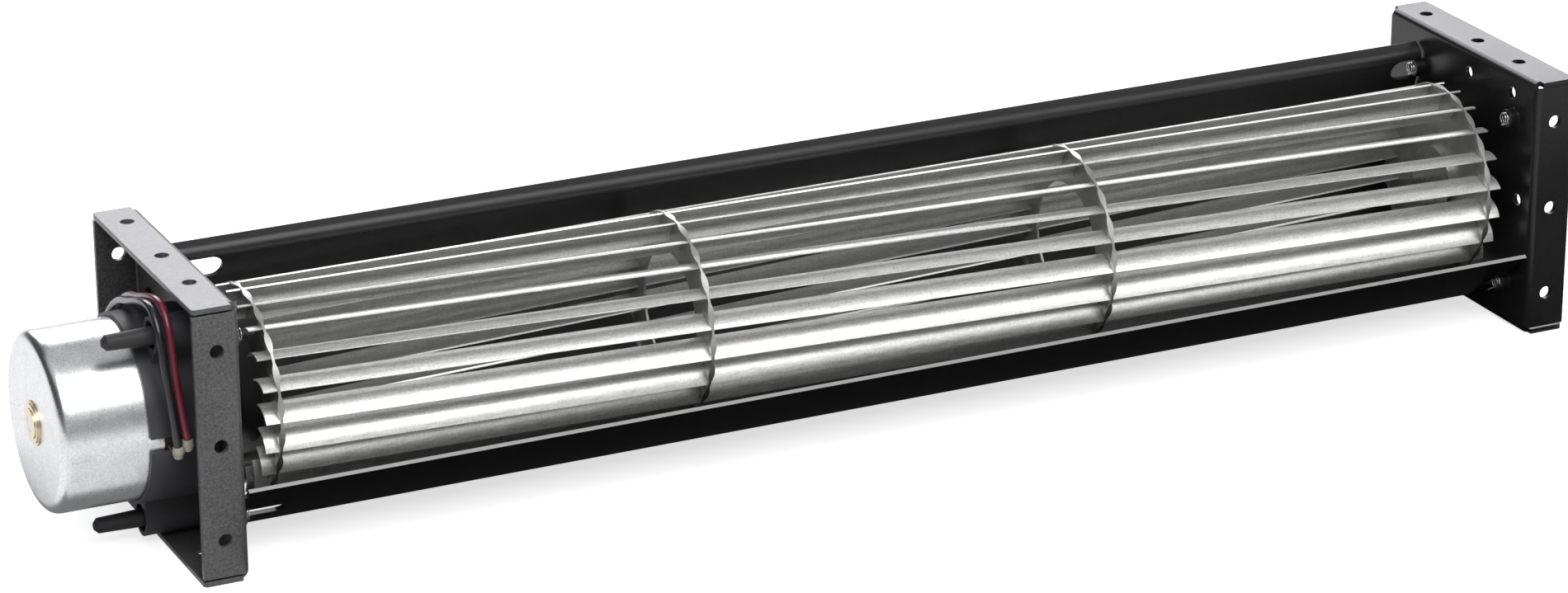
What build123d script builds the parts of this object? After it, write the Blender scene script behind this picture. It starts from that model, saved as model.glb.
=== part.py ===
from build123d import *
import os
from math import asin, atan2, cos, degrees, hypot, pi, radians, sin, tan

os.makedirs("parts", exist_ok=True)

# Cross flow fan, in millimetres. X runs along the wheel's axis, from the motor to the bearing,
# Y runs from the open front to the back, Z is up and z = 0 is the underside of the brackets.

# Brackets: two folded sheet ends, open outwards
housing_length = 280.0
housing_depth = 57.0
housing_height = 55.0
flange_width = 9.0
bracket_sheet = 1.0
bend_inside = 0.4
flange_tip_radius = 0.8
axis_depth = 26.0
axis_height = 27.5
flange_hole_radius = 1.35
side_hole_end = 8.75
top_hole_front = 14.0
top_hole_middle = 29.5
top_hole_back = 7.5
tapped_pitch = 36.0
tapped_radius = 1.25
burr_wall = 0.65
burr_height = 2.0
plain_hole_radius = 1.3

# Plain holes of the plates, from the wheel's axis as (depth, height)
plain_holes = ((-0.4, 22.4), (-16.6, 22.9), (-20.4, 0.7))

# Panels between the brackets, and the tabs that hold them
panel_sheet = 0.8
panel_end_gap = 0.5
scroll_lip_height = 17.5
scroll_gap = 4.5
scroll_close_angle = 225.5
scroll_end_depth = 25.0
scroll_base_gap = 0.3
rear_gap = 2.6
rear_upper_angle = 18.8
rear_lower_angle = 8.0
rear_bend_height = 49.1
rear_bend_radius = 2.2
rear_lip_run = 3.0
rear_lip_rise = 28.0
rear_base_gap = 3.0
notch_width = 4.6
rear_notch_motor = 12.1
rear_notch_bearing = 7.4
scroll_notch_motor = 10.2
scroll_notch_bearing = 5.0
scroll_notch_share = 0.34
tab_width = 4.0
tab_fold = 3.0
tab_clearance = 0.15
scroll_tab_shares = (0.13, 0.6)
rear_tab_shares = (0.28, 0.85)
fold_gap = 0.05

# Wheel
wheel_radius = 20.0
wheel_gap_motor = 6.5
wheel_gap_bearing = 3.5
blade_count = 20
blade_sheet = 0.35
blade_inner_radius = 15.0
blade_edge_margin = 0.3
blade_curve_radius = 4.8
blade_tip_angle = 0.7
blade_twist = 25.6
blade_twist_steps = 4
blade_arc_parts = 4
blade_overhang = 3.0
blade_slot_gap = 0.05
disc_count = 4
disc_sheet = 0.5
ring_opening_radius = 12.5
crimp_width = 1.3
crimp_depth = 1.1
crimp_end_gap = 0.3

# Wheel ends
hub_radius = 3.5
hub_start_gap = 4.0
hub_length = 9.0
hub_rubber_radius = 9.0
hub_rubber_length = 6.5
hub_rubber_lip = 1.5
end_flange_radius = 7.0
end_flange_thickness = 1.2
end_shaft_radius = 2.0
end_shaft_collar = 3.4
bond_gap = 0.02

# Bearing at the far bracket
bearing_bush_radius = 4.0
bearing_bush_length = 6.0
bearing_seat_radius = 7.0
bearing_rubber_lip = 2.0
bearing_rubber_thickness = 1.4
shaft_end_reach = 5.0
running_clearance = 0.03

# Motor
motor_shaft_radius = 1.5
can_radius = 17.4
can_length = 19.5
can_wall = 1.0
can_corner = 2.2
cap_depth = 8.2
cap_wall = 1.5
cap_spigot_length = 1.0
cap_bush_collar = 1.0
bush_radius = 3.5
bush_length = 4.5
boss_steps = ((4.3, 0.3), (3.8, 0.25), (2.9, 0.2))
magnet_wall = 3.8
magnet_span = 130.0
magnet_end_gap = 2.0
air_gap = 0.6
core_length = 10.0
core_hub_radius = 4.0
pole_neck = 3.0
pole_shoe = 1.8
pole_span = 92.0
winding_overhang = 2.2
winding_seat = 0.8
winding_width = 8.0
commutator_radius = 3.5
commutator_length = 5.0
commutator_start = 0.55
brush_gap = 0.3
brush_length = 3.2
brush_width = 3.6
brush_thickness = 3.0
arm_sheet = 0.3
terminal_width = 1.5
terminal_sheet = 0.5
terminal_inset = 3.5
terminal_reach = 20.3
terminal_places = ((1.2, -1.6), (3.1, -0.4))
joint_radius = 1.15
joint_low_radius = 0.8
joint_high_radius = 1.0
joint_height = 2.2

# Moulded motor holder and its rubber pins
buffer_thickness = 1.2
holder_floor = 2.0
holder_depth = 13.1
holder_wall = 0.7
holder_fit = 0.1
holder_opening = 7.0
plate_opening = 15.0
ear_circle = 22.4
ear_angles = (124.0, 267.0, 325.0)
ear_radius = 3.55
ear_height = 10.5
ear_web_width = 6.3
ear_bore_radius = 2.75
ear_shoulder = 2.8
pin_neck_radius = 1.95
pin_head_radius = 3.2
pin_head_height = 2.2
pin_tail_radius = 1.5
pin_tail_reach = 21.0
pin_barb_radius = 2.5
pin_gap = 0.05
terminal_slot_gap = 0.5

# Leads
lead_radius = 0.75
lead_length = 300.0
coil_outer_radius = 10.3
lead_black_points = (
    (-11.3, 4.6, 27.1), (-11.75, 5.4, 32.8), (-12.2, 6.7, 40.0), (-12.4, 7.9, 45.2),
    (-12.5, 9.3, 49.3), (-12.5, 13.2, 52.2), (-12.5, 20.0, 50.7), (-12.2, 27.0, 47.9),
    (-11.5, 34.5, 45.8), (-11.2, 41.2, 41.8), (-11.3, 46.4, 36.0), (-11.6, 50.2, 28.3),
    (-12.6, 53.0, 19.0), (-13.4, 57.5, 10.0), (-12.0, 64.0, 3.2), (-6.0, 72.5, 0.8), (5.5, 79.5, 0.8), (19.5, 83.6, 0.8), (35.0, 83.4, 0.8),
    (50.0, 81.8, 0.8))
lead_red_points = (
    (-9.4, 4.6, 28.3), (-10.0, 5.9, 33.7), (-10.3, 7.4, 40.4), (-10.4, 8.3, 45.2),
    (-10.5, 9.5, 49.6), (-10.5, 13.4, 52.6), (-10.5, 20.2, 51.1), (-10.3, 27.4, 48.4),
    (-9.6, 35.0, 46.3), (-9.3, 41.6, 42.4), (-9.3, 47.0, 36.8), (-9.6, 51.4, 29.4),
    (-10.7, 54.2, 20.0), (-11.3, 58.6, 11.0), (-9.2, 63.6, 3.8), (-3.0, 66.0, 0.8), (6.0, 62.4, 0.8), (15.0, 60.7, 0.8), (24.0, 60.7, 0.8))
coil_black_centre = (50.0, 71.5)
coil_red_centre = (24.0, 71.0)

# Places that follow from these sizes
bend_outside = bend_inside + bracket_sheet
boss_height = sum(height for radius, height in boss_steps)
motor_reach = (bracket_sheet + buffer_thickness + holder_floor + holder_fit + cap_depth
               + can_length + boss_height)
x_motor_plate = (motor_reach - housing_length - flange_width) / 2
x_bearing_plate = x_motor_plate + housing_length
y_front = -housing_depth / 2
y_back = housing_depth / 2
y_axis = y_front + axis_depth
plates = ((x_motor_plate, -1), (x_bearing_plate, 1))

x_holder = x_motor_plate - bracket_sheet - buffer_thickness
x_cap = x_holder - holder_floor - holder_fit
x_mouth = x_cap - cap_depth
x_can_face = x_mouth - can_length
x_boss = x_can_face - boss_height

x_wheel = x_motor_plate + wheel_gap_motor
wheel_length = housing_length - wheel_gap_motor - wheel_gap_bearing
disc_pitch = (wheel_length - 2 * blade_overhang) / (disc_count - 1)
disc_places = [x_wheel + blade_overhang + i * disc_pitch for i in range(disc_count)]
blade_outer_radius = wheel_radius - blade_edge_margin
blade_pitch_angle = 360 / blade_count

wheel_axis = Axis((0, y_axis, axis_height), (1, 0, 0))
along = Plane(origin=(0, y_axis, axis_height), x_dir=(1, 0, 0), z_dir=(0, -1, 0))


def across(x):
    """The plane square to the wheel's axis at x: its own x is depth, its own y is height."""
    return Plane(origin=(x, y_axis, axis_height), x_dir=(0, 1, 0), z_dir=(1, 0, 0))


def from_axis(radius, angle):
    return (radius * cos(radians(angle)), radius * sin(radians(angle)))


def turned(*points):
    """Turn a profile of (x, radius) points about the wheel's axis."""
    with BuildSketch(along) as profile:
        with BuildLine():
            Polyline(*points, close=True)
        make_face()
    revolve(profile.sketch, axis=wheel_axis)


def disc_between(x_start, x_end, radius, bore=0.0):
    """A plain turned disc or ring on the wheel's axis."""
    turned((x_start, bore), (x_start, radius), (x_end, radius), (x_end, bore))


def finish(piece, name):
    piece.part.label = name
    export_step(piece.part, f"parts/{name}.step")


# Sections of the two panels, about the wheel's axis. Each line is the middle of the sheet.
scroll_lip = (-axis_depth + panel_sheet / 2, scroll_lip_height - axis_height)
scroll_close = from_axis(wheel_radius + scroll_gap + panel_sheet / 2, scroll_close_angle)
scroll_end = (scroll_end_depth - axis_depth, scroll_base_gap + panel_sheet / 2 - axis_height)
with BuildLine(mode=Mode.PRIVATE) as scroll_line:
    ThreePointArc(scroll_lip, scroll_close, scroll_end)

rear_radius = wheel_radius + rear_gap + panel_sheet / 2
rear_upper = from_axis(rear_radius, rear_upper_angle)
rear_lower = from_axis(rear_radius, rear_lower_angle)
rear_rise = rear_bend_height - axis_height - rear_upper[1]
rear_bend = (rear_upper[0] - rear_rise * tan(radians(rear_upper_angle)), rear_upper[1] + rear_rise)
rear_lip = (rear_bend[0] + rear_lip_run * cos(radians(rear_lip_rise)),
            rear_bend[1] + rear_lip_run * sin(radians(rear_lip_rise)))
rear_drop = rear_lower[1] + axis_height - rear_base_gap
rear_end = (rear_lower[0] + rear_drop * tan(radians(rear_lower_angle)), rear_base_gap - axis_height)
with BuildLine(mode=Mode.PRIVATE) as rear_line:
    FilletPolyline(rear_lip, rear_bend, rear_upper, radius=rear_bend_radius)
    CenterArc((0, 0), rear_radius, rear_lower_angle, rear_upper_angle - rear_lower_angle)
    Line(rear_lower, rear_end)


def heading_at(line, share):
    """Direction of a panel's section at a share of its length."""
    heading = line.line % share
    return degrees(atan2(heading.Y, heading.X))


def tab_places(line, shares):
    """Centre and direction of each tab, read off the panel's section."""
    places = []
    for share in shares:
        spot = line.line @ share
        places.append(((spot.X, spot.Y), heading_at(line, share)))
    return places


scroll_tabs = tab_places(scroll_line, scroll_tab_shares)
rear_tabs = tab_places(rear_line, rear_tab_shares)


def channel(tip, face, low, high):
    """U-shaped section of a bracket: the plate at face, two flanges that reach to tip."""
    inner = face + bracket_sheet if tip > face else face - bracket_sheet
    with BuildSketch() as section:
        with BuildLine():
            FilletPolyline((tip, low), (face, low), (face, high), (tip, high), radius=bend_outside)
            FilletPolyline((tip, low + bracket_sheet), (inner, low + bracket_sheet),
                           (inner, high - bracket_sheet), (tip, high - bracket_sheet),
                           radius=bend_inside)
            Line((tip, low), (tip, low + bracket_sheet))
            Line((tip, high - bracket_sheet), (tip, high))
        make_face()
    return section.sketch


def bracket_sheet_metal(x_face, side):
    """The folded sheet with its flange holes, tapped holes, plain holes and tab slots."""
    x_tip = x_face + side * flange_width
    with BuildSketch(Plane.XY.offset(bend_outside)) as upright:
        add(channel(x_tip, x_face, y_front, y_back))
    extrude(upright.sketch, amount=housing_height - 2 * bend_outside)
    with BuildSketch(Plane.XZ.offset(bend_outside - y_back)) as level_bends:
        add(channel(x_tip, x_face, 0, housing_height))
    extrude(level_bends.sketch, amount=housing_depth - 2 * bend_outside)
    x_bend_end = x_face + side * bend_outside
    for level in (0, housing_height - bracket_sheet):
        with BuildSketch(Plane.XY.offset(level)) as flange:
            with Locations(((x_tip + x_bend_end) / 2, 0)):
                Rectangle(abs(x_tip - x_bend_end), housing_depth)
            tips = flange.vertices().group_by(Axis.X)[-1 if side > 0 else 0]
            fillet(tips, radius=flange_tip_radius)
        extrude(flange.sketch, amount=bracket_sheet)

    x_holes = x_face + side * flange_width / 2
    depths = (y_front + top_hole_front, y_front + top_hole_middle, y_back - top_hole_back)
    with BuildSketch(Plane.XY) as top_holes:
        with Locations(*[(x_holes, y) for y in depths]):
            Circle(flange_hole_radius)
    extrude(top_holes.sketch, amount=housing_height, mode=Mode.SUBTRACT)
    heights = (side_hole_end, housing_height / 2, housing_height - side_hole_end)
    with BuildSketch(Plane.XZ.offset(-y_back)) as side_holes:
        with Locations(*[(x_holes, z) for z in heights]):
            Circle(flange_hole_radius)
    extrude(side_holes.sketch, amount=housing_depth, mode=Mode.SUBTRACT)

    with BuildSketch(across(x_face + side * bracket_sheet / 2)) as burrs:
        with GridLocations(tapped_pitch, tapped_pitch, 2, 2):
            Circle(tapped_radius + burr_wall)
    extrude(burrs.sketch, amount=-side * (burr_height + bracket_sheet / 2))
    with BuildSketch(across(x_face)) as cuts:
        with GridLocations(tapped_pitch, tapped_pitch, 2, 2):
            Circle(tapped_radius)
        with Locations(*plain_holes):
            Circle(plain_hole_radius)
        for centre, heading in scroll_tabs + rear_tabs:
            with Locations(centre):
                Rectangle(tab_width + 2 * tab_clearance, panel_sheet + 2 * tab_clearance,
                          rotation=heading)
    extrude(cuts.sketch, amount=burr_height + bracket_sheet, both=True, mode=Mode.SUBTRACT)


ear_places = [from_axis(ear_circle, angle) for angle in ear_angles]

with BuildPart() as motor_bracket:
    bracket_sheet_metal(x_motor_plate, -1)
    with BuildSketch(across(x_motor_plate)):
        Circle(plate_opening)
        with Locations(*ear_places):
            Circle(pin_neck_radius + pin_gap)
    extrude(amount=-bracket_sheet, mode=Mode.SUBTRACT)
finish(motor_bracket, "motor_bracket")

with BuildPart() as bearing_bracket:
    bracket_sheet_metal(x_bearing_plate, 1)
    with BuildSketch(across(x_bearing_plate)):
        Circle(bearing_seat_radius)
    extrude(amount=bracket_sheet, mode=Mode.SUBTRACT)
finish(bearing_bracket, "bearing_bracket")


def panel(line, tabs):
    """A rolled sheet between the brackets, with its tabs through their slots and folded over."""
    x_low = x_motor_plate + panel_end_gap
    x_high = x_bearing_plate - panel_end_gap
    with BuildSketch(across(x_low)) as section:
        trace(line.line, line_width=panel_sheet)
    extrude(section.sketch, amount=x_high - x_low)
    for x_face, side in plates:
        x_end = x_low if side < 0 else x_high
        x_leaf = x_face + side * (bracket_sheet + fold_gap)
        for centre, heading in tabs:
            with BuildSketch(across(x_end)) as tab:
                with Locations(centre):
                    Rectangle(tab_width, panel_sheet, rotation=heading)
            extrude(tab.sketch, amount=x_leaf + side * panel_sheet - x_end)
            leaf_centre = (centre[0] - tab_fold / 2 * sin(radians(heading)),
                           centre[1] + tab_fold / 2 * cos(radians(heading)))
            with BuildSketch(across(x_leaf)) as leaf:
                with Locations(leaf_centre):
                    Rectangle(tab_width, tab_fold + panel_sheet, rotation=heading)
            extrude(leaf.sketch, amount=side * panel_sheet)


def notch_ends(spot, heading, depth_motor, depth_bearing):
    """Round-ended notches at both ends of a panel, clear of the burrs of the tapped holes."""
    notch_plane = Plane(origin=(0, y_axis + spot[0], axis_height + spot[1]), x_dir=(1, 0, 0),
                        z_dir=(0, -sin(radians(heading)), cos(radians(heading))))
    ends = ((x_motor_plate, depth_motor), (x_bearing_plate, depth_bearing))
    with BuildSketch(notch_plane) as notches:
        for x_face, depth in ends:
            with Locations((x_face, 0)):
                SlotOverall(2 * depth, notch_width)
    extrude(notches.sketch, amount=burr_height, both=True, mode=Mode.SUBTRACT)


tapped_reach = tapped_pitch / 2
with BuildPart() as scroll_panel:
    panel(scroll_line, scroll_tabs)
    notch_ends((-tapped_reach, -tapped_reach), heading_at(scroll_line, scroll_notch_share),
               scroll_notch_motor, scroll_notch_bearing)
finish(scroll_panel, "scroll_panel")

with BuildPart() as rear_panel:
    panel(rear_line, rear_tabs)
    notch_ends((tapped_reach, tapped_reach), 90 + rear_upper_angle,
               rear_notch_motor, rear_notch_bearing)
finish(rear_panel, "rear_panel")

# Blade section: an arc that leaves the inner edge radially and leans forward to the tip
curve_centre_reach = hypot(blade_inner_radius, blade_curve_radius)
curve_centre_angle = degrees(atan2(blade_curve_radius, blade_inner_radius))
curve_sweep = curve_centre_angle + degrees(asin(
    (blade_outer_radius**2 - curve_centre_reach**2 - blade_curve_radius**2)
    / (2 * blade_curve_radius * curve_centre_reach)))
tip_reach = (blade_inner_radius + blade_curve_radius * sin(radians(curve_sweep)),
             blade_curve_radius * (1 - cos(radians(curve_sweep))))
blade_root_angle = blade_tip_angle - degrees(atan2(tip_reach[1], tip_reach[0]))


def blade_section(angle, gap=0.0):
    """Curved blade section at an angle round the wheel; gap widens it all round for a slot."""
    thickness = blade_sheet + 2 * gap
    over = degrees(gap / blade_curve_radius)
    centre = from_axis(curve_centre_reach, angle + curve_centre_angle)
    start = angle - 90 - over
    step = (curve_sweep + 2 * over) / blade_arc_parts
    with BuildSketch() as section:
        with BuildLine():
            for i in range(blade_arc_parts):
                outer = CenterArc(centre, blade_curve_radius + thickness / 2, start + i * step, step)
                inner = CenterArc(centre, blade_curve_radius - thickness / 2, start + i * step, step)
                if i == 0:
                    Line(outer @ 0, inner @ 0)
            Line(outer @ 1, inner @ 1)
        make_face()
    return section.sketch


def twist_at(x):
    """How far a blade has turned about the axis at x, counted from the first disc."""
    return blade_twist * (x - disc_places[0]) / (disc_places[-1] - disc_places[0])


# Each blade winds a little round the wheel: its section is set at steps between the discs
twist_step = disc_pitch / blade_twist_steps
blade_stations = [x_wheel] + [disc_places[0] + i * twist_step
                              for i in range((disc_count - 1) * blade_twist_steps + 1)]
blade_stations.append(x_wheel + wheel_length)
blade_angles = [blade_root_angle + i * blade_pitch_angle for i in range(blade_count)]
for number, angle in enumerate(blade_angles, start=1):
    with BuildPart() as blade:
        for x_station in blade_stations:
            with BuildSketch(across(x_station)):
                add(blade_section(angle + twist_at(x_station)))
        loft(ruled=True)
    finish(blade, f"blade_{number:02d}")

# Discs: slotted for the blades, with the rim crimped wider between them
crimp_length = blade_outer_radius * radians(blade_pitch_angle) - blade_sheet - 2 * crimp_end_gap
disc_bores = [hub_rubber_radius + bond_gap] + [ring_opening_radius] * (disc_count - 2)
disc_bores.append(end_shaft_collar + bond_gap)
for number, (x_disc, bore) in enumerate(zip(disc_places, disc_bores), start=1):
    slot_angles = [angle + twist_at(x_disc) for angle in blade_angles]
    with BuildPart() as disc:
        with BuildSketch(across(x_disc)):
            Circle(wheel_radius)
            Circle(bore, mode=Mode.SUBTRACT)
        extrude(amount=disc_sheet / 2, both=True)
        for angle in slot_angles:
            middle = angle - blade_root_angle + blade_tip_angle + blade_pitch_angle / 2
            crimp_plane = Plane(
                origin=(x_disc, y_axis + wheel_radius * cos(radians(middle)),
                        axis_height + wheel_radius * sin(radians(middle))),
                x_dir=(1, 0, 0), z_dir=(0, -cos(radians(middle)), -sin(radians(middle))))
            with BuildSketch(crimp_plane):
                with BuildLine():
                    ThreePointArc((0, -crimp_length / 2), (crimp_width / 2, 0),
                                  (0, crimp_length / 2))
                    ThreePointArc((0, crimp_length / 2), (-crimp_width / 2, 0),
                                  (0, -crimp_length / 2))
                make_face()
            extrude(amount=crimp_depth)
        with BuildSketch(across(x_disc)):
            Circle(2 * wheel_radius)
            Circle(wheel_radius, mode=Mode.SUBTRACT)
            for angle in slot_angles:
                add(blade_section(angle, blade_slot_gap))
        extrude(amount=crimp_width, both=True, mode=Mode.SUBTRACT)
    finish(disc, f"disc_{number}")

# Drive end: a metal hub on the motor's shaft, held in the first disc by a rubber ring
x_hub = x_motor_plate + hub_start_gap
x_hub_end = x_hub + hub_length
x_drive_disc = disc_places[0]
disc_half = disc_sheet / 2
with BuildPart() as drive_hub:
    disc_between(x_hub, x_hub_end, hub_radius, motor_shaft_radius + bond_gap)
finish(drive_hub, "drive_hub")

with BuildPart() as hub_rubber:
    rubber_low = x_drive_disc - hub_rubber_length / 2
    rubber_high = x_drive_disc + hub_rubber_length / 2
    rubber_bore = hub_radius + bond_gap
    rubber_rim = hub_rubber_radius + hub_rubber_lip
    turned((rubber_low, rubber_bore), (rubber_low, hub_rubber_radius - hub_rubber_lip),
           (x_drive_disc - disc_half - bond_gap, rubber_rim),
           (x_drive_disc - disc_half - bond_gap, hub_rubber_radius),
           (x_drive_disc + disc_half + bond_gap, hub_rubber_radius),
           (x_drive_disc + disc_half + bond_gap, rubber_rim),
           (rubber_high, hub_rubber_radius - hub_rubber_lip), (rubber_high, rubber_bore))
finish(hub_rubber, "hub_rubber")

# Bearing end: a flanged shaft staked in the last disc
x_end_disc = disc_places[-1]
x_shaft_end = x_bearing_plate + shaft_end_reach
with BuildPart() as end_shaft:
    flange_face = x_end_disc - disc_half - bond_gap
    turned((flange_face - end_flange_thickness, 0),
           (flange_face - end_flange_thickness, end_flange_radius),
           (flange_face, end_flange_radius), (flange_face, end_shaft_collar),
           (x_end_disc + disc_half + end_flange_thickness, end_shaft_collar),
           (x_end_disc + disc_half + end_flange_thickness, end_shaft_radius),
           (x_shaft_end - bend_inside, end_shaft_radius),
           (x_shaft_end, end_shaft_radius - bend_inside), (x_shaft_end, 0))
finish(end_shaft, "end_shaft")

x_bush = x_bearing_plate + bracket_sheet / 2 - bearing_bush_length / 2
with BuildPart() as bearing_bush:
    disc_between(x_bush, x_bush + bearing_bush_length, bearing_bush_radius,
                 end_shaft_radius + running_clearance)
finish(bearing_bush, "bearing_bush")

with BuildPart() as bearing_rubber:
    groove_low = x_bearing_plate - bond_gap
    groove_high = x_bearing_plate + bracket_sheet + bond_gap
    rubber_bore = bearing_bush_radius + bond_gap
    rubber_rim = bearing_seat_radius + bearing_rubber_lip
    groove_radius = bearing_seat_radius - bond_gap
    turned((groove_low - bearing_rubber_thickness, rubber_bore),
           (groove_low - bearing_rubber_thickness, bearing_seat_radius),
           (groove_low, rubber_rim), (groove_low, groove_radius),
           (groove_high, groove_radius), (groove_high, rubber_rim),
           (groove_high + bearing_rubber_thickness, bearing_seat_radius),
           (groove_high + bearing_rubber_thickness, rubber_bore))
finish(bearing_rubber, "bearing_rubber")

# Motor: a deep-drawn can with two magnets, closed by a moulded cap that carries the brushes
can_inside = can_radius - can_wall
with BuildPart() as motor_can:
    with BuildSketch(along):
        with BuildLine():
            Polyline((x_can_face, bush_radius + bond_gap), (x_can_face, can_radius - can_corner))
            RadiusArc((x_can_face, can_radius - can_corner),
                      (x_can_face + can_corner, can_radius), can_corner)
            Polyline((x_can_face + can_corner, can_radius), (x_mouth, can_radius),
                     (x_mouth, can_inside), (x_can_face + can_corner, can_inside))
            RadiusArc((x_can_face + can_corner, can_inside),
                      (x_can_face + can_wall, can_radius - can_corner), can_wall - can_corner)
            Polyline((x_can_face + can_wall, can_radius - can_corner),
                     (x_can_face + can_wall, bush_radius + bond_gap),
                     (x_can_face, bush_radius + bond_gap))
        make_face()
    revolve(axis=wheel_axis)
finish(motor_can, "motor_can")

shaft_bore = motor_shaft_radius + running_clearance
with BuildPart() as can_bush:
    outline = [(x_can_face - bond_gap, boss_steps[0][0])]
    x_step = x_can_face
    for radius, height in boss_steps:
        outline.append((x_step if radius < boss_steps[0][0] else outline[-1][0], radius))
        x_step -= height
        outline.append((x_step, radius))
    x_inside = x_can_face + bush_length - can_wall
    turned(*outline[1:], (x_step, shaft_bore), (x_inside, shaft_bore), (x_inside, bush_radius),
           (x_can_face - bond_gap, bush_radius))
finish(can_bush, "can_bush")

cap_radius = can_radius - bond_gap
with BuildPart() as end_cap:
    spigot_radius = can_inside - bond_gap
    turned((x_cap, bush_radius + bond_gap), (x_cap, cap_radius),
           (x_mouth + bond_gap, cap_radius), (x_mouth + bond_gap, spigot_radius),
           (x_mouth - cap_spigot_length, spigot_radius),
           (x_mouth - cap_spigot_length, spigot_radius - cap_wall),
           (x_cap - cap_wall, spigot_radius - cap_wall),
           (x_cap - cap_wall, bush_radius + bond_gap))
    with BuildSketch(along):
        for offset_x, offset_z in terminal_places:
            with Locations((x_mouth + offset_x, offset_z)):
                Rectangle(terminal_width + 2 * pin_gap, terminal_sheet + 2 * pin_gap)
    extrude(amount=can_radius + cap_wall, mode=Mode.SUBTRACT)
finish(end_cap, "end_cap")

with BuildPart() as cap_bush:
    x_collar = x_cap - cap_wall - bond_gap
    x_collar_end = x_collar - cap_bush_collar
    collar_radius = bush_radius + cap_bush_collar
    x_bush_out = x_cap + cap_bush_collar
    turned((x_bush_out, shaft_bore), (x_bush_out, bush_radius), (x_collar, bush_radius),
           (x_collar, collar_radius), (x_collar_end, collar_radius), (x_collar_end, shaft_bore))
finish(cap_bush, "cap_bush")

magnet_outer = can_inside - bond_gap
magnet_inner = magnet_outer - magnet_wall
for number, middle in enumerate((90, 270), start=1):
    with BuildPart() as magnet:
        with BuildSketch(across(x_can_face + magnet_end_gap)):
            with BuildLine():
                start = middle - magnet_span / 2
                outer = CenterArc((0, 0), magnet_outer, start, magnet_span)
                inner = CenterArc((0, 0), magnet_inner, start, magnet_span)
                Line(outer @ 0, inner @ 0)
                Line(outer @ 1, inner @ 1)
            make_face()
        extrude(amount=can_length - 2 * magnet_end_gap)
    finish(magnet, f"magnet_{number}")

with BuildPart() as motor_shaft:
    disc_between(x_boss + bond_gap, x_hub_end, motor_shaft_radius)
finish(motor_shaft, "motor_shaft")

core_radius = magnet_inner - air_gap
x_core = x_can_face + (can_length - core_length) / 2
pole_angles = (0, 120, 240)
with BuildPart() as armature_core:
    with BuildSketch(across(x_core)):
        Circle(core_hub_radius)
        for angle in pole_angles:
            with Locations(from_axis((core_radius - pole_shoe / 2) / 2, angle)):
                Rectangle(core_radius - pole_shoe / 2, pole_neck, rotation=angle)
            with BuildLine():
                outer = CenterArc((0, 0), core_radius, angle - pole_span / 2, pole_span)
                inner = CenterArc((0, 0), core_radius - pole_shoe, angle - pole_span / 2, pole_span)
                Line(outer @ 0, inner @ 0)
                Line(outer @ 1, inner @ 1)
            make_face()
        Circle(motor_shaft_radius + bond_gap, mode=Mode.SUBTRACT)
    extrude(amount=core_length)
finish(armature_core, "armature_core")

winding_low = core_hub_radius + winding_seat
shoe_inside = core_radius - pole_shoe - bond_gap
winding_high = (shoe_inside**2 - (winding_width / 2)**2)**0.5
for number, angle in enumerate(pole_angles, start=1):
    pole_plane = Plane(origin=across(x_core + core_length / 2).origin,
                       x_dir=(1, 0, 0), z_dir=(0, cos(radians(angle)), sin(radians(angle))))
    with BuildPart() as winding:
        with BuildSketch(pole_plane.offset(winding_low)):
            RectangleRounded(core_length + 2 * winding_overhang, winding_width, pole_neck / 2)
            Rectangle(core_length + 2 * bond_gap, pole_neck + 2 * bond_gap, mode=Mode.SUBTRACT)
        extrude(amount=winding_high - winding_low)
    finish(winding, f"winding_{number}")

x_commutator = x_mouth - commutator_start
with BuildPart() as commutator:
    disc_between(x_commutator, x_commutator + commutator_length, commutator_radius,
                 motor_shaft_radius + bond_gap)
finish(commutator, "commutator")

# Brushes above and below the commutator, on spring arms that end at the terminals
terminal_middle = sum(offset_x for offset_x, offset_z in terminal_places) / len(terminal_places)
brush_start = commutator_radius + brush_gap
brush_end = brush_start + brush_length
terminal_root = can_inside - terminal_inset
for number, (above, (offset_x, offset_z)) in enumerate(zip((-1, 1), terminal_places), start=1):
    with BuildPart() as brush:
        with BuildSketch(across(x_mouth + terminal_middle - brush_width / 2)):
            with Locations((0, above * (brush_start + brush_end) / 2)):
                Rectangle(brush_thickness, brush_length)
        extrude(amount=brush_width)
    finish(brush, f"brush_{number}")

    arm_height = above * (brush_end + arm_sheet / 2 + bond_gap)
    seat_height = offset_z + above * (terminal_sheet / 2 + arm_sheet / 2 + bond_gap)
    with BuildPart() as brush_arm:
        with BuildSketch(across(x_mouth + offset_x - terminal_width / 2)):
            with BuildLine():
                arm_line = Polyline((brush_thickness / 2, arm_height), (-brush_end, arm_height),
                                    (-terminal_root, seat_height),
                                    (-terminal_root - terminal_width, seat_height))
            trace(arm_line, line_width=arm_sheet)
        extrude(amount=terminal_width)
    finish(brush_arm, f"brush_arm_{number}")

    with BuildPart() as terminal:
        with BuildSketch(across(x_mouth + offset_x - terminal_width / 2)):
            with Locations((-(terminal_root + terminal_reach) / 2, offset_z)):
                Rectangle(terminal_reach - terminal_root, terminal_sheet)
        extrude(amount=terminal_width)
    finish(terminal, f"terminal_{number}")

with BuildPart() as lead_joints:
    for offset_x, offset_z in terminal_places:
        joint_plane = Plane(origin=(x_mouth + offset_x, y_axis - terminal_reach - joint_radius - bond_gap,
                                    axis_height + offset_z - joint_height / 2),
                            x_dir=(1, 0, 0), z_dir=(0, 0, 1))
        with BuildSketch(joint_plane):
            Circle(joint_low_radius)
        with BuildSketch(joint_plane.offset(joint_height / 2)):
            Circle(joint_radius)
        with BuildSketch(joint_plane.offset(joint_height)):
            Circle(joint_high_radius)
        loft(ruled=True)
finish(lead_joints, "lead_joints")

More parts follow.
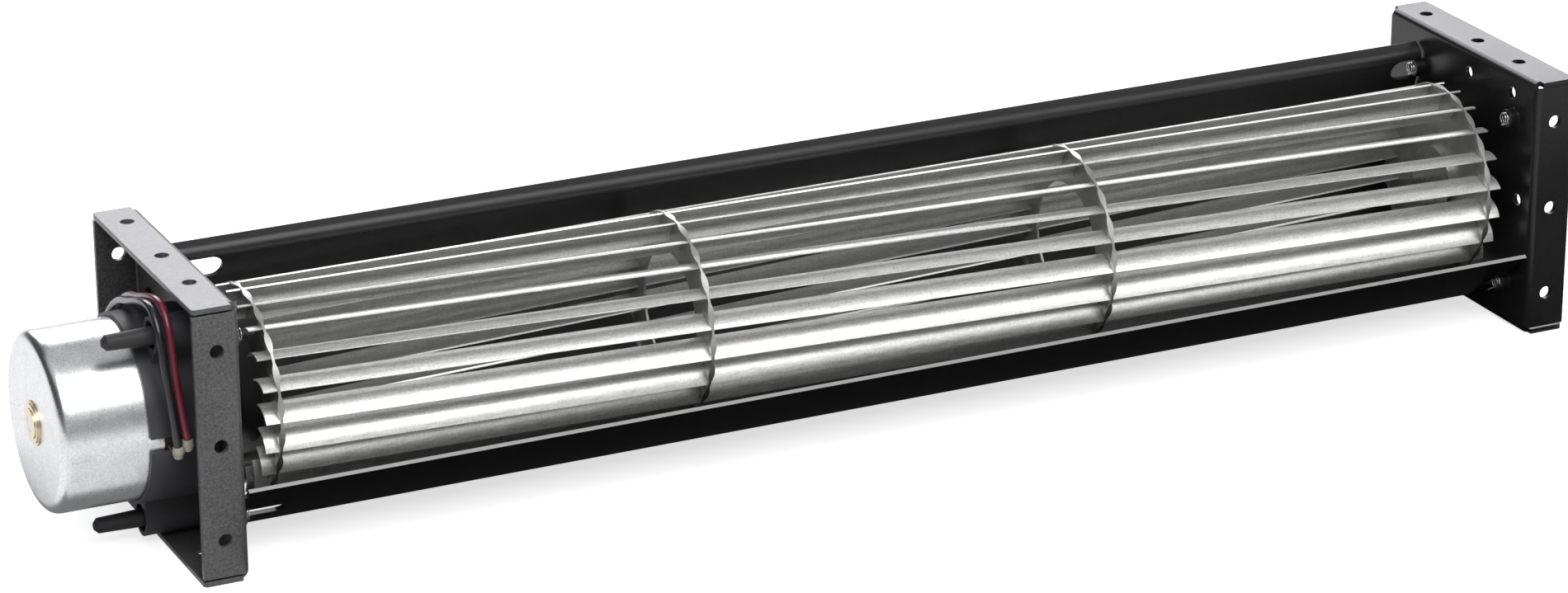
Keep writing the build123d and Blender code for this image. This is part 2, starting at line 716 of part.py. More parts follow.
# Holder: a moulded cup round the motor with three ears that stand on rubber pins
holder_inside = can_radius + holder_fit
holder_radius = holder_inside + holder_wall
x_rim = x_holder - holder_depth
x_ear_face = x_holder - ear_height
with BuildPart() as motor_holder:
    with BuildSketch(across(x_holder)):
        Circle(holder_radius)
    extrude(amount=-holder_depth)
    with BuildSketch(across(x_holder)):
        with Locations(*ear_places):
            Circle(ear_radius)
        for angle in ear_angles:
            web_length = ear_circle - holder_inside
            with Locations(from_axis(holder_inside + web_length / 2, angle)):
                Rectangle(web_length, ear_web_width, rotation=angle)
    extrude(amount=-ear_height)
    with BuildSketch(across(x_holder - holder_floor)):
        Circle(holder_inside)
    extrude(amount=-holder_depth, mode=Mode.SUBTRACT)
    with BuildSketch(across(x_holder)):
        Circle(holder_opening)
        with Locations(*ear_places):
            Circle(pin_neck_radius)
    extrude(amount=-ear_height, mode=Mode.SUBTRACT)
    with BuildSketch(across(x_holder - ear_shoulder)):
        with Locations(*ear_places):
            Circle(ear_bore_radius)
    extrude(amount=-ear_height, mode=Mode.SUBTRACT)
    slot_low = min(z for x, z in terminal_places) - terminal_sheet / 2 - terminal_slot_gap
    slot_high = max(z for x, z in terminal_places) + terminal_sheet / 2 + terminal_slot_gap
    slot_end = x_mouth + max(x for x, z in terminal_places) + terminal_width / 2 + terminal_slot_gap
    with BuildSketch(along):
        with Locations(((x_rim + slot_end) / 2, (slot_low + slot_high) / 2)):
            Rectangle(slot_end - x_rim, slot_high - slot_low)
    extrude(amount=holder_radius, mode=Mode.SUBTRACT)
finish(motor_holder, "motor_holder")

x_plate_out = x_motor_plate - bracket_sheet
x_barb = x_holder - ear_shoulder - pin_gap
x_tail_end = x_plate_out - pin_tail_reach
with BuildPart() as rubber_pins:
    for place in ear_places:
        pin_origin = (0, y_axis + place[0], axis_height + place[1])
        holder_neck = pin_neck_radius - pin_gap
        with BuildSketch(Plane(origin=pin_origin, x_dir=(1, 0, 0), z_dir=(0, -1, 0))):
            with BuildLine():
                Polyline((x_motor_plate + pin_head_height, 0),
                         (x_motor_plate + pin_head_height, pin_tail_radius),
                         (x_motor_plate + pin_head_height / 2, pin_head_radius),
                         (x_motor_plate + pin_gap, pin_head_radius),
                         (x_motor_plate + pin_gap, pin_neck_radius),
                         (x_plate_out - pin_gap, pin_neck_radius),
                         (x_plate_out - pin_gap, pin_head_radius),
                         (x_holder + pin_gap, pin_head_radius),
                         (x_holder + pin_gap, holder_neck),
                         (x_barb, holder_neck), (x_barb, pin_barb_radius),
                         (x_barb - pin_barb_radius, pin_neck_radius - pin_gap),
                         (x_tail_end + pin_tail_radius / 2, pin_tail_radius),
                         (x_tail_end, pin_tail_radius / 2), (x_tail_end, 0), close=True)
            make_face()
        revolve(axis=Axis(pin_origin, (1, 0, 0)))
finish(rubber_pins, "rubber_pins")


def lead_tube(points):
    """A lead's tube along straight runs and tangent arcs; returns the route's radii and length."""
    route = [Vector(x_motor_plate + x, y_front + y, z) for x, y, z in points]
    radii = []
    for before, corner, after in zip(route, route[1:], route[2:]):
        turn = radians((corner - before).get_angle(after - corner))
        shorter = min((corner - before).length, (after - corner).length)
        radii.append(0.45 * shorter / tan(turn / 2))
    with BuildLine() as path:
        FilletPolyline(*route, radius=radii)
    with BuildSketch(Plane(origin=route[0], z_dir=route[1] - route[0])) as section:
        Circle(lead_radius)
    sweep(section.sketch, path=path.line)
    return radii, sum(edge.length for edge in path.edges())


def lead_coil(centre, length):
    """The flat coil that holds the rest of a lead, lying on the ground behind the panel."""
    coil_inner_radius = (coil_outer_radius**2 - 2 * lead_radius * length / pi)**0.5
    with BuildSketch(Plane.XY) as ring:
        with Locations((x_motor_plate + centre[0], y_front + centre[1])):
            Circle(coil_outer_radius + lead_radius)
            Circle(coil_inner_radius - lead_radius, mode=Mode.SUBTRACT)
    extrude(ring.sketch, amount=2 * lead_radius)


lead_routes = (("black", lead_black_points, coil_black_centre),
               ("red", lead_red_points, coil_red_centre))
for colour, points, centre in lead_routes:
    with BuildPart() as lead:
        bend_radii, tube_length = lead_tube(points)
    finish(lead, f"lead_{colour}")
    with BuildPart() as coil:
        lead_coil(centre, lead_length - tube_length)
    finish(coil, f"coil_{colour}")
    section = pi * lead_radius**2
    print(colour, "lead: radii", [round(radius, 1) for radius in bend_radii],
          "tube", round(tube_length, 1), "in the coil", round(lead_length - tube_length, 1),
          "volume over section times length", round(lead.part.volume / (section * tube_length), 3))
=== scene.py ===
import math

import bpy
from mathutils import Matrix, Vector


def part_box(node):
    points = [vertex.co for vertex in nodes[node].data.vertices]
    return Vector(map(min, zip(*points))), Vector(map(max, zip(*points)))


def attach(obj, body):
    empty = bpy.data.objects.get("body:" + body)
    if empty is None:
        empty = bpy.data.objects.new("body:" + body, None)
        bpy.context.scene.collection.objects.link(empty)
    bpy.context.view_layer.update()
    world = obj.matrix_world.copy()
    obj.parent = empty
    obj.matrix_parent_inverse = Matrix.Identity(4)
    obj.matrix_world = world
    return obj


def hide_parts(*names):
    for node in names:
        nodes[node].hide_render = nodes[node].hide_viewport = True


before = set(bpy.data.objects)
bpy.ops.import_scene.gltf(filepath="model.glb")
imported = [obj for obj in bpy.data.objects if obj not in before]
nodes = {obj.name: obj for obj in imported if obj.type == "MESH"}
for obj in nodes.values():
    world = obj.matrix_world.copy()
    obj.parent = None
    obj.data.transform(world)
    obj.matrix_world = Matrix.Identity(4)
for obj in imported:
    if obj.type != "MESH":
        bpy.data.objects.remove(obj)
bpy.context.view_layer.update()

# The two brackets: folded sheet steel with four outward flanges, punched, burred and tapped,
# then dipped in black paint. The paint is thin and glossy, with a fine orange peel. Both brackets
# have the same coat; the motor end's copy is painted lighter and greyer and the bearing end's
# darker, as painted light and shade.
flange_width = 0.009
plate_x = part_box("motor_bracket")[0].x + flange_width
bearing_plate_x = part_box("bearing_bracket")[1].x - flange_width
front_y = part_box("motor_bracket")[0].y
sheet_edge_radius = 0.00025
# Light grey for the scroll's upward-facing cut edge: partly bare steel, partly a painted highlight.
bare_edge_highlight_tone = (0.40, 0.40, 0.40)


class Wire:
    """One output of a node. Sums written with wires add their Math nodes to the tree."""

    def __init__(self, tree, socket=None):
        self.tree = tree
        self.socket = socket

    def node(self, kind, settings=(), sockets=(), out=0):
        """Adds any node: its settings first, then the values and wires of its sockets."""
        made = self.tree.nodes.new(kind)
        for name, value in dict(settings).items():
            if name == "stops":
                ramp = made.color_ramp
                ramp.elements.remove(ramp.elements[1])
                for number, (place, tone) in enumerate(value):
                    element = ramp.elements[0] if number == 0 else ramp.elements.new(place)
                    element.position = place
                    element.color = (tone, tone, tone, 1)
            else:
                setattr(made, name, value)
        for name, value in dict(sockets).items():
            if isinstance(value, Wire):
                self.tree.links.new(value.socket, made.inputs[name])
            else:
                made.inputs[name].default_value = value
        return Wire(self.tree, made.outputs[out])

    def math(self, operation, first, second):
        return self.node("ShaderNodeMath", {"operation": operation}, {0: first, 1: second})

    def __add__(self, other):
        return self.math("ADD", self, other)

    def __mul__(self, other):
        return self.math("MULTIPLY", self, other)

    __radd__ = __add__
    __rmul__ = __mul__


class Finish:
    """A material on object coordinates. Constants are set on the shader's own sockets."""

    def __init__(self, name, constants):
        self.material = bpy.data.materials.new(name)
        self.material.use_nodes = True
        self.tree = self.material.node_tree
        self.shader = self.tree.nodes["Principled BSDF"]
        for socket, value in constants.items():
            self.shader.inputs[socket].default_value = value
        self.place = Wire(self.tree).node("ShaderNodeTexCoord", out=3)

    def stretched(self, scale):
        """Object coordinates stretched by three factors, for a grain along one axis."""
        return self.place.node("ShaderNodeVectorMath", {"operation": "MULTIPLY"},
                               {0: self.place, 1: scale})

    def noise(self, scale, detail=3.0, place=None, roughness=0.5):
        return self.place.node("ShaderNodeTexNoise", {},
                               {"Vector": place or self.place, "Scale": scale,
                                "Detail": detail, "Roughness": roughness})

    def ramp(self, amount, *stops):
        return amount.node("ShaderNodeValToRGB", {"stops": stops}, {"Fac": amount})

    def between(self, amount, dark, light):
        return amount.node("ShaderNodeMix", {"data_type": "RGBA"},
                           {0: amount, 6: (*dark, 1), 7: (*light, 1)}, out=2)

    def feed(self, socket, wire):
        self.tree.links.new(wire.socket, self.shader.inputs[socket])

    def relief(self, height, depth, strength=1.0, edge=0.0):
        """Bump of a height map; an edge radius rounds the sharp corners under it."""
        sockets = {"Height": height, "Distance": depth, "Strength": strength}
        if edge:
            sockets["Normal"] = height.node("ShaderNodeBevel", {"samples": 6}, {"Radius": edge})
        self.feed("Normal", height.node("ShaderNodeBump", {}, sockets))


def dress(material, *names):
    """Gives CAD nodes their finish, in place of every slot that they have."""
    for name in names:
        mesh = nodes[name].data
        mesh.materials.clear()
        mesh.materials.append(material)


def black_paint(name, low, high, roughness, peel_scale, peel_depth, bare_edge_highlight_above=None, gloss=0.5):
    """Black paint: a fine speckle of tone, an orange peel and softly rounded sheet edges.
    Upward-facing cut edges above a height can be given a light grey: partly a bare cut edge, partly
    a painted highlight."""
    paint = Finish(name, {"Specular IOR Level": gloss, "IOR": 1.5})
    peel = paint.noise(peel_scale, 2.0)
    speckle = paint.noise(1900.0, 3.0, roughness=0.7)
    cloud = paint.noise(60.0, 4.0)
    tone = paint.ramp(speckle * 0.75 + cloud * 0.25, (0.36, 0.0), (0.66, 1.0))
    colour = paint.between(tone, low, high)
    # Painted highlight: upward-facing surfaces above the height turn light grey, partly for the
    # bare cut edge, partly for the light that it catches.
    if bare_edge_highlight_above is not None:
        height = tone.node("ShaderNodeSeparateXYZ", {}, {0: paint.place}, out=2)
        facing = tone.node("ShaderNodeTexCoord", out=1)
        upward = tone.node("ShaderNodeSeparateXYZ", {}, {0: facing}, out=2)
        edge_highlight_mask = height.math("GREATER_THAN", height, bare_edge_highlight_above) \
            * upward.math("GREATER_THAN", upward, 0.6)
        colour = tone.node("ShaderNodeMix", {"data_type": "RGBA"},
                           {0: edge_highlight_mask, 6: colour, 7: (*bare_edge_highlight_tone, 1)}, out=2)
    paint.feed("Base Color", colour)
    paint.feed("Roughness", cloud * 0.10 + roughness)
    paint.relief(peel, peel_depth, 0.6, edge=sheet_edge_radius)
    return paint.material


bracket_peel = {"peel_scale": 2600.0, "peel_depth": 0.00003}
# Painted light and shade: one paint in two copies, the motor end's painted lighter and greyer, the
# bearing end's painted darker.
dress(black_paint("lit_motor_bracket_paint", (0.040, 0.040, 0.041), (0.125, 0.125, 0.128),
                  roughness=0.26, **bracket_peel), "motor_bracket")
dress(black_paint("shaded_bearing_bracket_paint", (0.006, 0.006, 0.007), (0.012, 0.012, 0.013),
                  roughness=0.24, gloss=0.38, **bracket_peel), "bearing_bracket")

# The motor's can: deep drawn from steel, zinc plated to a fine mottled grey-white. It is closed
# behind by a moulded black cap and holds the two bushes that carry the shaft.
zinc = Finish("zinc_plate", {"Metallic": 1.0})
zinc_speckle = zinc.noise(2600.0, 4.0, roughness=0.75)
zinc_mottle = zinc.noise(260.0, 3.0)
zinc_tone = zinc.ramp(zinc_speckle * 0.8 + zinc_mottle * 0.2, (0.38, 0.0), (0.62, 1.0))
zinc.feed("Base Color", zinc.between(zinc_tone, (0.60, 0.605, 0.62), (0.84, 0.845, 0.85)))
zinc.feed("Roughness", zinc_speckle * 0.05 + zinc_mottle * 0.03 + 0.24)
zinc.relief(zinc_speckle, 0.000005, 0.4)
dress(zinc.material, "motor_can")


def moulded(name, low, high, roughness, grain_scale=900.0):
    """A moulded or rubber surface: dull, with a fine eroded grain."""
    plastic = Finish(name, {"Specular IOR Level": 0.45})
    grain_map = plastic.noise(grain_scale, 3.0)
    cloud = plastic.noise(90.0, 3.0)
    plastic.feed("Base Color", plastic.between(cloud, low, high))
    plastic.feed("Roughness", cloud * 0.12 + grain_map * 0.06 + roughness)
    plastic.relief(grain_map, 0.00002, 0.5, edge=0.0002)
    return plastic.material


dress(moulded("cap_moulding", (0.010, 0.010, 0.011), (0.018, 0.018, 0.020), 0.42), "end_cap")


def turned_metal(name, low, high, roughness):
    """Bare turned metal: fine rings and small changes of tone."""
    metal = Finish(name, {"Metallic": 1.0})
    tone = metal.noise(1200.0, 3.0, metal.stretched((3.0, 1.0, 1.0)))
    metal.feed("Base Color", metal.between(tone, low, high))
    metal.feed("Roughness", tone * 0.12 + roughness)
    metal.relief(tone, 0.000008, 0.4)
    return metal.material


sintered_bronze = turned_metal("sintered_bronze", (0.62, 0.52, 0.36), (0.86, 0.78, 0.60), 0.26)
dress(sintered_bronze, "can_bush", "cap_bush")

# Inside the motor: ferrite magnets round a stack of iron sheets with three copper windings on a
# ground steel shaft. Carbon brushes on brass arms press on the commutator.
bright_steel = turned_metal("bright_steel", (0.50, 0.50, 0.50), (0.72, 0.72, 0.71), 0.18)
core_steel = turned_metal("core_steel", (0.16, 0.16, 0.17), (0.30, 0.30, 0.31), 0.35)
winding_copper = turned_metal("winding_copper", (0.60, 0.24, 0.11), (0.86, 0.42, 0.22), 0.28)
spring_brass = turned_metal("spring_brass", (0.66, 0.47, 0.18), (0.86, 0.67, 0.33), 0.24)
dress(bright_steel, "motor_shaft")
dress(core_steel, "armature_core")
dress(winding_copper, "winding_1", "winding_2", "winding_3", "commutator")
dress(spring_brass, "brush_arm_1", "brush_arm_2", "terminal_1", "terminal_2")
dress(moulded("ferrite", (0.025, 0.025, 0.028), (0.05, 0.05, 0.055), 0.55), "magnet_1", "magnet_2")
dress(moulded("brush_carbon", (0.012, 0.012, 0.013), (0.03, 0.03, 0.03), 0.5), "brush_1", "brush_2")

# The motor holder: a black moulded cup with three ears, hung on soft rubber pins whose long
# tails pull them through the ears and stay on.
soft_rubber = moulded("pin_rubber", (0.020, 0.020, 0.021), (0.034, 0.034, 0.035), 0.50, 1400.0)
dress(moulded("holder_moulding", (0.030, 0.030, 0.034), (0.055, 0.055, 0.061), 0.34),
      "motor_holder")
dress(soft_rubber, "rubber_pins")

# The two leads: stranded copper in soft glossy PVC, one black and one dark red, soldered to the
# motor's tabs, bent over the upper ear and led behind the rear panel, where they lie coiled.
# Their points are millimetres from the motor plate, the brackets' front edge and the ground.
lead_radius = 0.00075
lead_length = 0.300
strand_share = 0.55
coil_radius = 0.0103
coil_pitch = 0.00155
points_per_turn = 16
spline_share = 0.985
bare_steps = 4
black_points = (
    (-11.3, 4.6, 27.1), (-11.75, 5.4, 32.8), (-12.2, 6.7, 40.0), (-12.4, 7.9, 45.2),
    (-12.5, 9.3, 49.3), (-12.5, 13.2, 52.2), (-12.5, 20.0, 50.7), (-12.2, 27.0, 47.9),
    (-11.5, 34.5, 45.8), (-11.2, 41.2, 41.8), (-11.3, 46.4, 36.0), (-11.6, 50.2, 28.3),
    (-12.6, 53.0, 19.0), (-13.4, 57.5, 10.0), (-12.0, 64.0, 3.2), (-6.0, 72.5, 0.8),
    (5.5, 79.5, 0.8), (19.5, 83.6, 0.8), (35.0, 83.4, 0.8), (50.0, 81.8, 0.8))
red_points = (
    (-9.4, 4.6, 28.3), (-10.0, 5.9, 33.7), (-10.3, 7.4, 40.4), (-10.4, 8.3, 45.2),
    (-10.5, 9.5, 49.6), (-10.5, 13.4, 52.6), (-10.5, 20.2, 51.1), (-10.3, 27.4, 48.4),
    (-9.6, 35.0, 46.3), (-9.3, 41.6, 42.4), (-9.3, 47.0, 36.8), (-9.6, 51.4, 29.4),
    (-10.7, 54.2, 20.0), (-11.3, 58.6, 11.0), (-9.2, 63.6, 3.8), (-3.0, 66.0, 0.8),
    (6.0, 62.4, 0.8), (15.0, 60.7, 0.8), (24.0, 60.7, 0.8))
lead_kinds = (
    ("black", black_points, 1, ((0.008, 0.008, 0.009), (0.016, 0.016, 0.018))),
    ("red", red_points, -1, ((0.12, 0.012, 0.024), (0.19, 0.026, 0.045))))
tinned = turned_metal("tinned_strands", (0.60, 0.60, 0.60), (0.80, 0.80, 0.80), 0.22)


def cable_skin(name, low, high):
    """Soft PVC: glossy, with faint drawing lines and small changes of gloss."""
    skin = Finish(name, {"Specular IOR Level": 0.5, "Coat Roughness": 0.12})
    cloud = skin.noise(300.0, 3.0)
    skin.feed("Base Color", skin.between(cloud, low, high))
    skin.feed("Roughness", cloud * 0.12 + 0.24)
    skin.feed("Coat Weight", cloud * 0.2 + 0.2)
    skin.relief(skin.noise(1500.0, 2.0), 0.00001, 0.4)
    return skin.material


def route_line(name, points, radius, material):
    """A round flexible line on one smooth spline through a list of control points."""
    curve = bpy.data.curves.new(name, "CURVE")
    curve.dimensions = "3D"
    curve.bevel_depth = radius
    curve.bevel_resolution = 5
    curve.use_fill_caps = True
    curve.resolution_u = 10
    spline = curve.splines.new("NURBS")
    spline.points.add(len(points) - 1)
    for point, place in zip(spline.points, points):
        point.co = (*place, 1)
    spline.order_u = 3
    spline.use_endpoint_u = True
    curve.materials.append(material)
    line = bpy.data.objects.new(name, curve)
    bpy.context.scene.collection.objects.link(line)
    return line


for colour, points, side, tones in lead_kinds:
    route = [Vector((plate_x + x / 1000, front_y + y / 1000, z / 1000)) for x, y, z in points]
    run = sum((after - before).length for before, after in zip(route, route[1:]))
    coil_run = lead_length - run * spline_share
    turns = (coil_radius - math.sqrt(coil_radius**2 - coil_pitch * coil_run / math.pi)) / coil_pitch
    centre = route[-1] - Vector((0, side * coil_radius, 0))
    steps = round(turns * points_per_turn)
    half_step = math.pi / points_per_turn
    winding = []
    for step in range(1, steps + bare_steps + 1):
        angle = side * (math.pi / 2 - 2 * half_step * step)
        reach = (coil_radius - coil_pitch * step / points_per_turn) / math.cos(half_step)
        winding.append(centre + reach * Vector((math.cos(angle), math.sin(angle), 0)))
    lead = route_line(f"lead_skin_{colour}", route + winding[:-bare_steps], lead_radius,
                      cable_skin(f"{colour}_pvc", *tones))
    strands = route_line(f"lead_strands_{colour}", winding[-bare_steps - 2:-1],
                         lead_radius * strand_share, tinned)
    for piece in (lead, strands):
        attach(piece, "housing")
    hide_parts(f"lead_{colour}", f"coil_{colour}")

# The joints: where each lead is soldered to its tab, a blob of cream insulating compound covers
# the bare metal. It is rounded, slightly dirty and a little translucent.
cream = Finish("cream_compound", {"Specular IOR Level": 0.5, "Subsurface Weight": 0.15,
                                  "Subsurface Scale": 0.001})
cream_cloud = cream.noise(700.0, 3.0)
cream.feed("Base Color", cream.between(cream_cloud, (0.20, 0.185, 0.15), (0.46, 0.44, 0.38)))
cream.feed("Roughness", cream_cloud * 0.2 + 0.18)
cream.relief(cream_cloud, 0.0002, 0.7, edge=0.0004)
dress(cream.material, "lead_joints")

# The wheel: blades of thin hard aluminium sheet, rolled along their length, pushed through the
# slots of four discs. The first disc is driven through a rubber ring on a steel hub.
blade_sheet = Finish("rolled_aluminium", {"Metallic": 0.86})
blade_grain = blade_sheet.noise(1.0, 4.0, blade_sheet.stretched((320.0, 2400.0, 2400.0)), 0.7)
blade_patches = blade_sheet.noise(1.0, 3.0, blade_sheet.stretched((14.0, 90.0, 90.0)))
blade_pits = blade_sheet.noise(2300.0, 3.0, roughness=0.7)
blade_tone = blade_sheet.ramp(blade_grain * 0.5 + blade_pits * 0.5, (0.38, 0.0), (0.62, 1.0))
blade_sheet.feed("Base Color", blade_sheet.between(blade_tone, (0.68, 0.68, 0.665),
                                                   (0.98, 0.98, 0.97)))
blade_sheet.feed("Roughness", blade_grain * 0.14 + blade_patches * 0.10 + 0.28)
blade_sheet.relief(blade_grain + blade_pits * 0.5, 0.000014, 0.6)
dress(blade_sheet.material, *[name for name in nodes if name.startswith("blade_")])
dress(bright_steel, "drive_hub")
dress(soft_rubber, "hub_rubber")

# The four discs: pressed from the same sheet, duller and handled more. Their rims are crimped
# wider between the blades, which holds the blades in their slots.
disc_sheet = Finish("crimped_disc_sheet", {"Metallic": 0.9})
disc_cloud = disc_sheet.noise(500.0, 3.0)
disc_sheet.feed("Base Color", disc_sheet.between(disc_cloud, (0.28, 0.28, 0.275),
                                                 (0.48, 0.48, 0.47)))
disc_sheet.feed("Roughness", disc_cloud * 0.12 + 0.34)
disc_sheet.relief(disc_cloud, 0.000012, 0.5)
dress(disc_sheet.material, *[name for name in nodes if name.startswith("disc_")])

# The bearing end: a short steel shaft turns in a sintered bronze bush. The bush sits in a ring
# of black rubber that is pressed into the bearing bracket's plate.
dress(bright_steel, "end_shaft")
dress(sintered_bronze, "bearing_bush")
dress(soft_rubber, "bearing_rubber")

# The tapped burrs of both plates: the tap cuts through the paint, so the threads are bare steel.
# One cut crest is a fine helix; a tree of nodes sets it in each of the eight bores.
burr_pitch = 0.036
burr_depth = 0.003
thread_sizes = {"Depth": burr_depth, "Turns": 6.0, "Bore Radius": 0.00122, "Crest": 0.00010}
thread_tree = bpy.data.node_groups.new("tapped_burrs", "GeometryNodeTree")
thread_tree.interface.new_socket("Bores", in_out="INPUT", socket_type="NodeSocketGeometry")
thread_sockets = {name: thread_tree.interface.new_socket(name, in_out="INPUT",
                                                         socket_type="NodeSocketFloat").identifier
                  for name in thread_sizes}
thread_tree.interface.new_socket("Threads", in_out="OUTPUT", socket_type="NodeSocketGeometry")
bores = Wire(thread_tree).node("NodeGroupInput", out="Bores")
given = {name: Wire(thread_tree, bores.socket.node.outputs[name]) for name in thread_sizes}
helix = bores.node("GeometryNodeCurveSpiral", {}, {
    "Resolution": 20, "Rotations": given["Turns"], "Start Radius": given["Bore Radius"],
    "End Radius": given["Bore Radius"], "Height": given["Depth"]})
crest = bores.node("GeometryNodeCurvePrimitiveCircle", {}, {"Resolution": 5,
                                                            "Radius": given["Crest"]})
crest_mesh = bores.node("GeometryNodeCurveToMesh", {}, {"Curve": helix, "Profile Curve": crest})
set_in_bores = bores.node("GeometryNodeInstanceOnPoints", {}, {
    "Points": bores, "Instance": crest_mesh, "Rotation": (0.0, math.pi / 2, 0.0)})
realized = bores.node("GeometryNodeRealizeInstances", {}, {"Geometry": set_in_bores})
finished = bores.node("GeometryNodeSetMaterial", {}, {"Geometry": realized,
                                                      "Material": bright_steel})
thread_end = thread_tree.nodes.new("NodeGroupOutput")
thread_tree.links.new(finished.socket, thread_end.inputs["Threads"])

wheel_axis = (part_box("motor_can")[0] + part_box("motor_can")[1]) / 2
bore_starts = [(x, wheel_axis.y + across * burr_pitch / 2, wheel_axis.z + up * burr_pitch / 2)
               for x in (plate_x, bearing_plate_x - burr_depth)
               for across in (-1, 1) for up in (-1, 1)]
bore_mesh = bpy.data.meshes.new("burr_threads")
bore_mesh.from_pydata(bore_starts, [], [])
burr_threads = bpy.data.objects.new("burr_threads", bore_mesh)
bpy.context.scene.collection.objects.link(burr_threads)
threads_rule = burr_threads.modifiers.new("tapped_burrs", "NODES")
threads_rule.node_group = thread_tree
for name, size in thread_sizes.items():
    threads_rule[thread_sockets[name]] = size
shaped = burr_threads.evaluated_get(bpy.context.evaluated_depsgraph_get())
burr_threads.data = bpy.data.meshes.new_from_object(shaped)
burr_threads.modifiers.clear()
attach(burr_threads, "housing")

# The two panels: the front scroll and the rear wall, rolled sheet in a smoother black paint than
# the brackets', with notched ends and tabs folded over behind them. The scroll's upper cut edge
# is painted light grey where it faces up: partly a bare cut edge, partly a painted highlight.
panel_peel = {"peel_scale": 1400.0, "peel_depth": 0.000012}
scroll_edge_drop = 0.0013
dress(black_paint("scroll_paint", (0.003, 0.003, 0.0035), (0.006, 0.006, 0.007), roughness=0.13,
                  bare_edge_highlight_above=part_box("scroll_panel")[1].z - scroll_edge_drop, **panel_peel),
      "scroll_panel")
dress(black_paint("rear_paint", (0.008, 0.008, 0.009), (0.016, 0.016, 0.018), roughness=0.28,
                  **panel_peel), "rear_panel")

# The table: one plain pale sheet. It glows a little for the rays that look at it or mirror it,
# so that it stays as white as the background.
table_reach = 3.0
mirrored_glow = 0.25
looked_at_glow = 0.45
mirror_rays = ("Is Camera Ray", "Is Glossy Ray", "Is Transmission Ray")


def flat_sheet(name, corners, material):
    """One flat four-cornered sheet of the studio."""
    mesh = bpy.data.meshes.new(name)
    mesh.from_pydata(corners, [], [(0, 1, 2, 3)])
    mesh.materials.append(material)
    sheet = bpy.data.objects.new(name, mesh)
    bpy.context.scene.collection.objects.link(sheet)
    return sheet


def rays_of(tree, kinds):
    """One for a ray of any of these kinds, nought for every other ray."""
    paths = tree.nodes.new("ShaderNodeLightPath")
    total = Wire(tree, paths.outputs[kinds[0]])
    for kind in kinds[1:]:
        total = total + Wire(tree, paths.outputs[kind])
    return total


table = Finish("pale_table", {"Roughness": 0.9, "Specular IOR Level": 0.1,
                              "Emission Strength": 1.0})
table.feed("Base Color", table.between(table.noise(3.0, 2.0), (0.84, 0.84, 0.84),
                                       (0.88, 0.88, 0.88)))
table_glow = rays_of(table.tree, mirror_rays) * mirrored_glow \
    + rays_of(table.tree, mirror_rays[:1]) * looked_at_glow
table.feed("Emission Color", table.between(table_glow, (0.0, 0.0, 0.0), (1.0, 1.0, 1.0)))
flat_sheet("table", [(-table_reach, -table_reach, 0), (table_reach, -table_reach, 0),
                     (table_reach, table_reach, 0), (-table_reach, table_reach, 0)],
           table.material)

# The background: white where it is looked at or mirrored, and dimmer as a light.
ambient_level = 0.45
world = bpy.data.worlds.new("studio")
world.use_nodes = True
bpy.context.scene.world = world
sky = world.node_tree
white_part = rays_of(sky, mirror_rays) * (1 - ambient_level) + ambient_level
sky.links.new(white_part.socket, sky.nodes["Background"].inputs["Strength"])

# The lights: one large soft box high in front and a lower one behind, both aimed at the wheel.
aimed_at = Vector((0, 0, 0.03))


def soft_box(name, place, width, height, power, tone=(1.0, 1.0, 1.0)):
    """A rectangular area light that faces the object."""
    lamp = bpy.data.lights.new(name, "AREA")
    lamp.shape = "RECTANGLE"
    lamp.size = width
    lamp.size_y = height
    lamp.energy = power
    lamp.color = tone
    box = bpy.data.objects.new(name, lamp)
    box.location = place
    box.rotation_euler = (aimed_at - Vector(place)).to_track_quat("-Z", "Y").to_euler()
    bpy.context.scene.collection.objects.link(box)


soft_box("front_box", (-0.20, -0.86, 1.19), 1.5, 1.1, 22.0)
soft_box("back_box", (0.35, 1.40, 0.90), 1.7, 0.9, 27.0, (0.96, 0.96, 1.0))

# The cards: grey, dark and bright sheets whose only work is to be mirrored, in the can, in the
# blades and in the paint. Those that lie on the table are lifted by less than a millimetre.
card_lift = 0.0004
top_card_lift = 0.0005
card_wall_y = -1.4
fan_wall_y = -1.35
motor_side_end = 0.30
fan_side_middle = 0.95
near_edge = front_y - 0.20
front_foot = front_y - 0.034


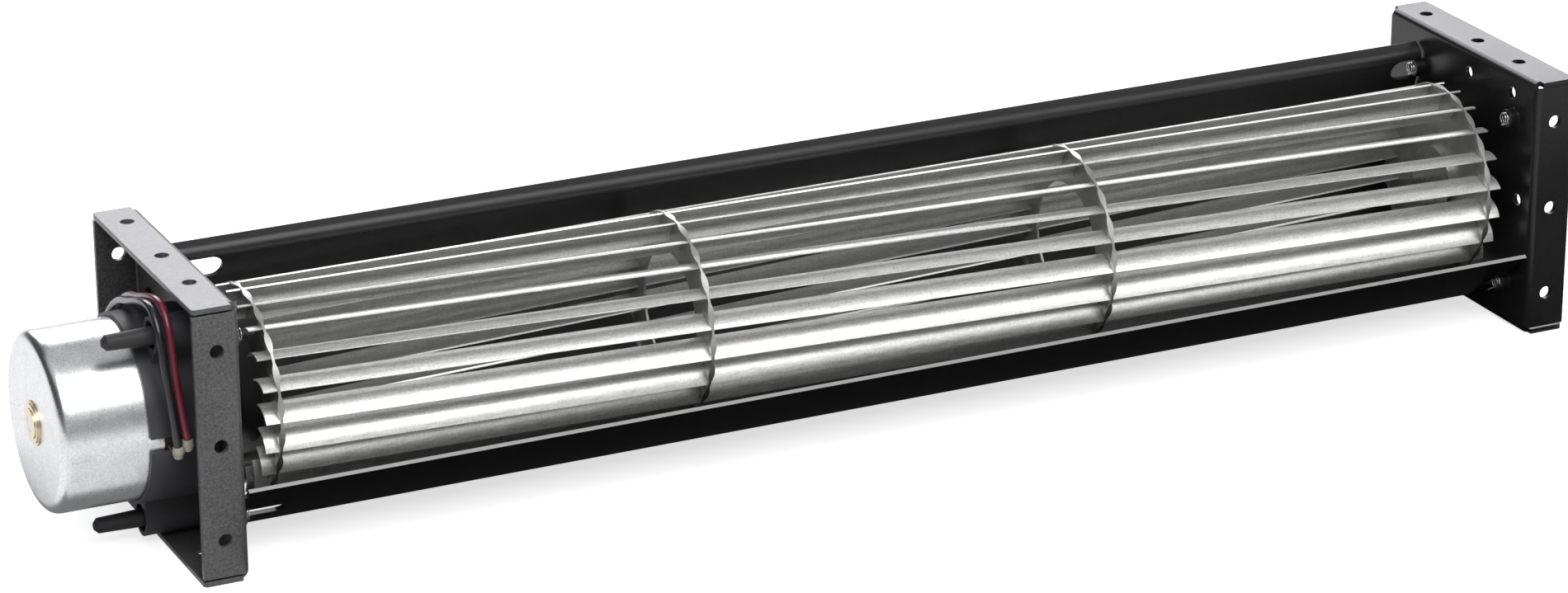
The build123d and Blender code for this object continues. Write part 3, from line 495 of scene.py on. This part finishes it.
def card(name, tone, corners):
    """An even card of its own brightness, seen only in reflections."""
    material = bpy.data.materials.new(name)
    material.use_nodes = True
    tree = material.node_tree
    tree.nodes.clear()
    lamp = tree.nodes.new("ShaderNodeEmission")
    lamp.inputs["Color"].default_value = (tone, tone, tone, 1)
    output = tree.nodes.new("ShaderNodeOutputMaterial")
    tree.links.new(lamp.outputs[0], output.inputs["Surface"])
    sheet = flat_sheet(name, corners, material)
    sheet.visible_camera = False
    sheet.visible_diffuse = False
    sheet.visible_shadow = False


def level_card(name, tone, left, right, front, back, height):
    card(name, tone, [(left, front, height), (right, front, height), (right, back, height),
                      (left, back, height)])


def upright_card(name, tone, left, right, wall_y, low, high):
    card(name, tone, [(left, wall_y, low), (right, wall_y, low), (right, wall_y, high),
                      (left, wall_y, high)])


level_card("overhead_card", 0.50, -1.6, 1.6, -0.38, 0.60, 1.2)
card("motor_front_card", 0.38, [(-1.2, card_wall_y, card_lift),
                                (motor_side_end, card_wall_y, card_lift),
                                (-0.075, near_edge, card_lift), (-1.2, near_edge, card_lift)])
upright_card("motor_horizon_card", 0.38, -1.6, motor_side_end, card_wall_y, 0.0, 0.80)
upright_card("fan_front_card", 1.30, 0.50, fan_side_middle, fan_wall_y, 0.40, 2.0)
upright_card("fan_right_card", 1.90, fan_side_middle, 2.40, fan_wall_y, 0.15, 2.0)
# Painted shadow: the two dark cards under the motor and the fan stand in, in reflections, for the
# table's shade under the object.
level_card("motor_shadow_card", 0.22, -0.17, plate_x, front_y + 0.01, 0.05, card_lift)
level_card("fan_shadow_card", 0.015, plate_x + 0.002, 0.16, front_foot, 0.0, card_lift)
level_card("right_front_card", 0.12, 0.16, 0.25, -0.16, -0.03, top_card_lift)

# The camera stands where the photograph was taken from: to the left of the front, looking down.
focal_length = 115.48
camera_place = Vector((plate_x - 0.27589, front_y - 0.81019, 0.38676))
camera_right = Vector((0.90246, -0.43075, -0.00308))
camera_up = Vector((0.1588, 0.3260, 0.9319))
lens = bpy.data.cameras.new("camera")
lens.sensor_width = 36.0
lens.sensor_fit = "HORIZONTAL"
lens.lens = focal_length
camera = bpy.data.objects.new("camera", lens)
turn = Matrix((camera_right, camera_up, camera_right.cross(camera_up))).transposed()
camera.matrix_world = Matrix.Translation(camera_place) @ turn.to_4x4()
bpy.context.scene.collection.objects.link(camera)
bpy.context.scene.camera = camera
bpy.context.scene.view_settings.view_transform = "Standard"
